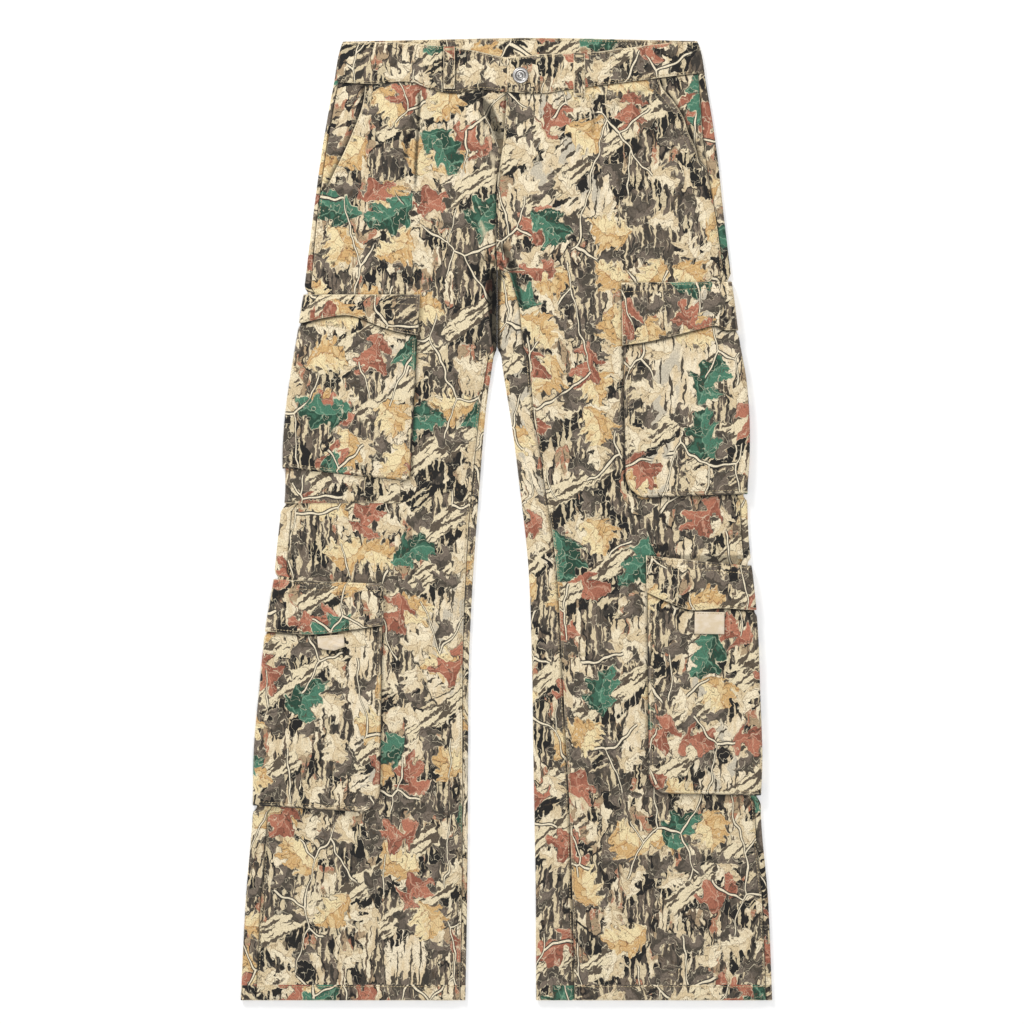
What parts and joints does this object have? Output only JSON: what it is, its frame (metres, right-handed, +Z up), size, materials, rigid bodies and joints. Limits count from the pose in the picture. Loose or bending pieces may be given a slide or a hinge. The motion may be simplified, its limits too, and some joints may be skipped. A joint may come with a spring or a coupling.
{
  "type": "cargo jeans",
  "caption": "Wide-leg cargo jeans in a woodland print, laid flat with the front up: buttoned waistband, belt loops, slant pockets, and bellows pockets with flaps on thighs and calves.",
  "frame": {"origin": "middle of the outline, on the surface that the jeans lie on", "axes": "+Y up the jeans from the hems to the waist, +Z up from the surface, so the wearer's left leg lies at +X"},
  "size_m": [0.5806, 1.0519, 0.0121],
  "materials": {
    "printed_canvas": "cotton canvas with a leaf and bark print, matt",
    "webbing": "beige woven tape",
    "button_metal": "brushed, slightly dull"
  },
  "bodies": {
    "root": {"back_left": "printed_canvas", "back_right": "printed_canvas", "belt_loop_left": "printed_canvas", "belt_loop_right": "printed_canvas", "calf_flap_left": "printed_canvas", "calf_flap_right": "printed_canvas", "calf_pocket_left": "printed_canvas", "calf_pocket_right": "printed_canvas", "front_left": "printed_canvas", "front_right": "printed_canvas", "pocket_facing_left": "printed_canvas", "pocket_facing_right": "printed_canvas", "pull_tab_left": "webbing", "pull_tab_right": "webbing", "thigh_flap_left": "printed_canvas", "thigh_flap_right": "printed_canvas", "thigh_gusset_right": "printed_canvas", "thigh_pocket_left": "printed_canvas", "thigh_pocket_right": "printed_canvas", "waist_button": "button_metal", "waistband_back": "printed_canvas", "waistband_left": "printed_canvas", "waistband_right": "printed_canvas"}
  },
  "joints": []
}
